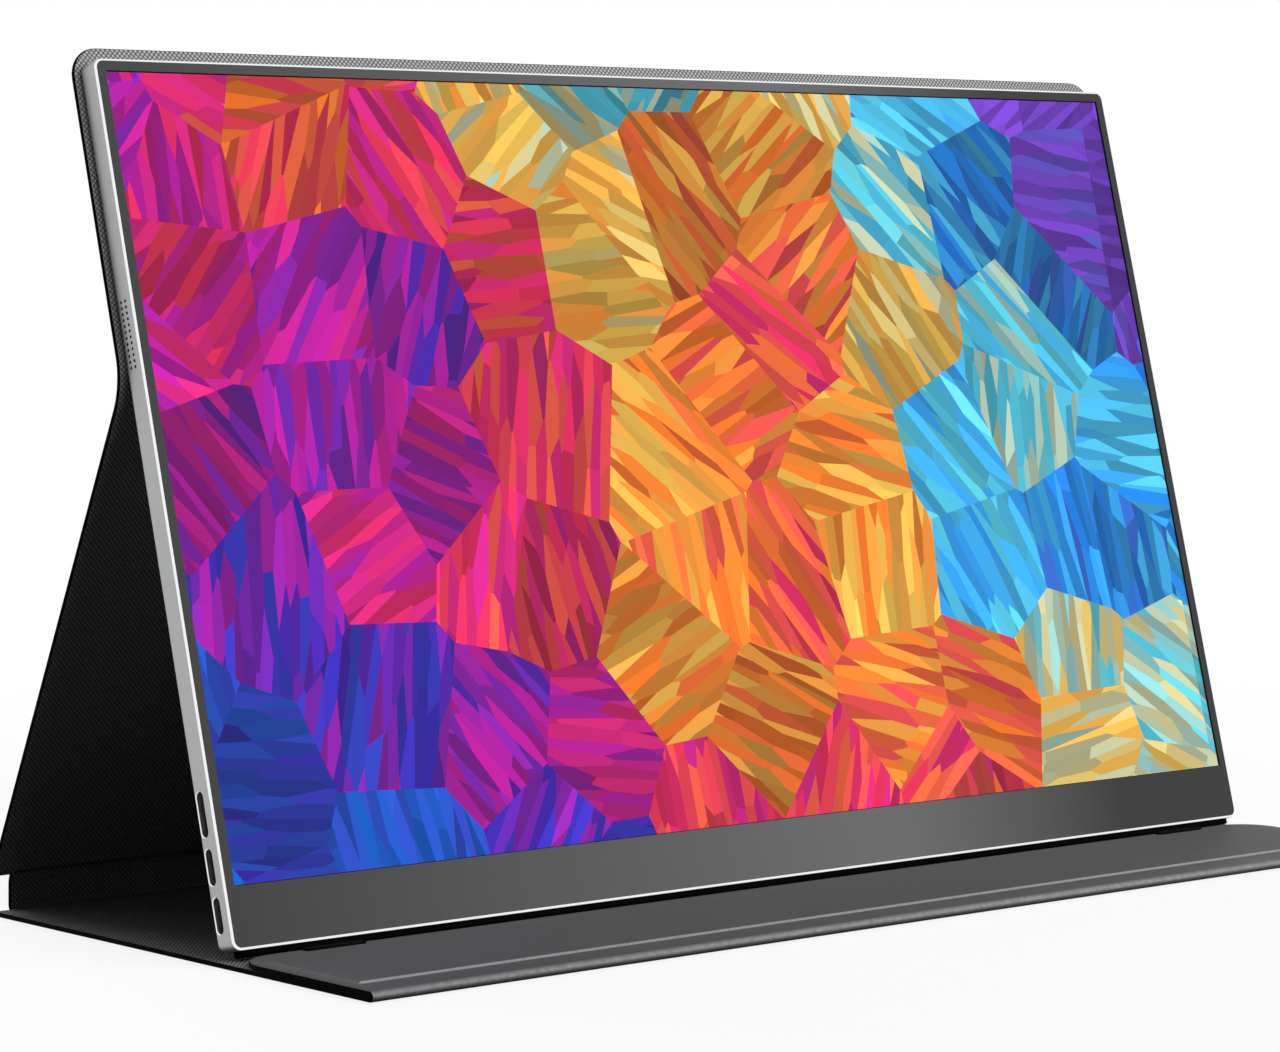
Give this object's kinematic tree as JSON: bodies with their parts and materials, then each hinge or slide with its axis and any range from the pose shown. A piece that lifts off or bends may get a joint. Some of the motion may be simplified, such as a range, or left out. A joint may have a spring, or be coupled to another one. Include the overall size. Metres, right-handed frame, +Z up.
{
  "type": "portable monitor with folio cover",
  "caption": "Slim portable monitor in a magnetic folio cover that folds into its own stand, with flap, creased prop panel, side ports, speakers and side keys.",
  "frame": {"origin": "on the table under the middle of the cover's box, in the standing pose", "axes": "+Z up, +X across to the right seen from the front, -Y towards the viewer of the screen"},
  "size_m": [0.3544, 0.1516, 0.2113],
  "materials": {
    "cover_skin": "smooth polyurethane leather, satin",
    "cover_lining": "fine woven lining, matt",
    "cover_board": "stiff board, matt",
    "magnet": "nickel plated",
    "stop_pad": "soft moulded rubber, matt",
    "case_aluminium": "fine blasted with polished rim",
    "foot_rubber": "soft moulded rubber, matt",
    "bezel_plastic": "fine textured, satin",
    "adhesive_tape": "black foam tape",
    "screen_glass": "anti-glare, satin",
    "clear_film": "clear",
    "white_film": "white, satin",
    "light_strip": "white board with lights",
    "sheet_metal": "rolled sheet",
    "foam": "soft closed-cell foam",
    "circuit_board": "solder mask, satin",
    "black_plastic": "moulded, satin",
    "flat_cable": "flat flexible cable",
    "lead_jacket": "flexible jacket",
    "port_metal": "stamped, bright",
    "key_metal": "fine blasted"
  },
  "bodies": {
    "base": {"base_board": "cover_board", "base_lining": "cover_lining", "base_skin": "cover_skin", "flap_fold": "cover_skin", "spine_base_fold": "cover_skin"},
    "flap": {"flap_board": "cover_board", "flap_lining": "cover_lining", "flap_magnets": "magnet", "flap_skin": "cover_skin", "flap_stop_pads": "stop_pad"},
    "spine": {"spine_board": "cover_board", "spine_lining": "cover_lining", "spine_prop_fold": "cover_skin", "spine_skin": "cover_skin"},
    "prop": {"crease_fold": "cover_skin", "prop_board": "cover_board", "prop_lining": "cover_lining", "prop_skin": "cover_skin"},
    "rear_panel": {"rear_panel_board": "cover_board", "rear_panel_lining": "cover_lining", "rear_panel_magnets": "magnet", "rear_panel_skin": "cover_skin"},
    "monitor": {"bezel_tape": "adhesive_tape", "board_screws": "sheet_metal", "board_shield": "sheet_metal", "button_board": "circuit_board", "button_cable": "flat_cable", "diffuser_films": "clear_film", "foot_strip": "foot_rubber", "front_bezel": "bezel_plastic", "headphone_jack": "black_plastic", "keeper_plates": "sheet_metal", "lcd_cell": "screen_glass", "led_bar": "light_strip", "light_guide": "clear_film", "main_board": "circuit_board", "menu_rocker_pin": "sheet_metal", "mini_hdmi_port": "port_metal", "panel_back_plate": "sheet_metal", "panel_cable": "flat_cable", "panel_driver_board": "circuit_board", "panel_foam": "foam", "panel_frame": "white_film", "rear_shell": "case_aluminium", "reflector_sheet": "white_film", "scaler_chip": "black_plastic", "speaker_leads": "lead_jacket", "speaker_left": "black_plastic", "speaker_meshes": "sheet_metal", "speaker_right": "black_plastic", "tact_switches": "black_plastic", "usb_c_port_lower": "port_metal", "usb_c_port_upper": "port_metal"},
    "power_button": {"power_button": "key_metal"},
    "menu_rocker": {"menu_rocker": "key_metal"}
  },
  "joints": [
    {"name": "flap_turn", "type": "hinge", "parent": "base", "child": "flap", "pos_m": [0, -0.07447, 0.0016], "axis": [1, 0, 0], "range_deg": [0, 179.5], "deforming": ["flap_fold"]},
    {"name": "cover_open", "type": "hinge", "parent": "base", "child": "spine", "pos_m": [0, 0.07502, 0.00075], "axis": [-1, 0, 0], "range_deg": [0, 90], "deforming": ["spine_base_fold"]},
    {"name": "stand_unfold", "type": "hinge", "parent": "spine", "child": "prop", "pos_m": [0, 0.07502, 0.00875], "axis": [-1, 0, 0], "range_deg": [0, 24.14], "deforming": ["spine_prop_fold"]},
    {"name": "crease_flatten", "type": "hinge", "parent": "prop", "child": "rear_panel", "pos_m": [0, 0.01966, 0.13231], "axis": [1, 0, 0], "range_deg": [0, 39.44], "deforming": ["crease_fold"]},
    {"name": "monitor_lift", "type": "slide", "parent": "rear_panel", "child": "monitor", "axis": [0, 0.2639, 0.9646], "range_m": [0, 0.22]},
    {"name": "power_press", "type": "slide", "parent": "monitor", "child": "power_button", "axis": [-1, 0, 0], "range_m": [0, 0.0004], "stiffness_N_per_m": 4000},
    {"name": "menu_rock", "type": "hinge", "parent": "monitor", "child": "menu_rocker", "pos_m": [0.17338, -0.01292, 0.02459], "axis": [0, -0.9646, 0.2639], "range_deg": [-3, 3], "stiffness_Nm_per_rad": 0.1}
  ],
  "couplings": [
    {"joint": "crease_flatten", "follows": "stand_unfold", "ratio": 1.6339}
  ]
}
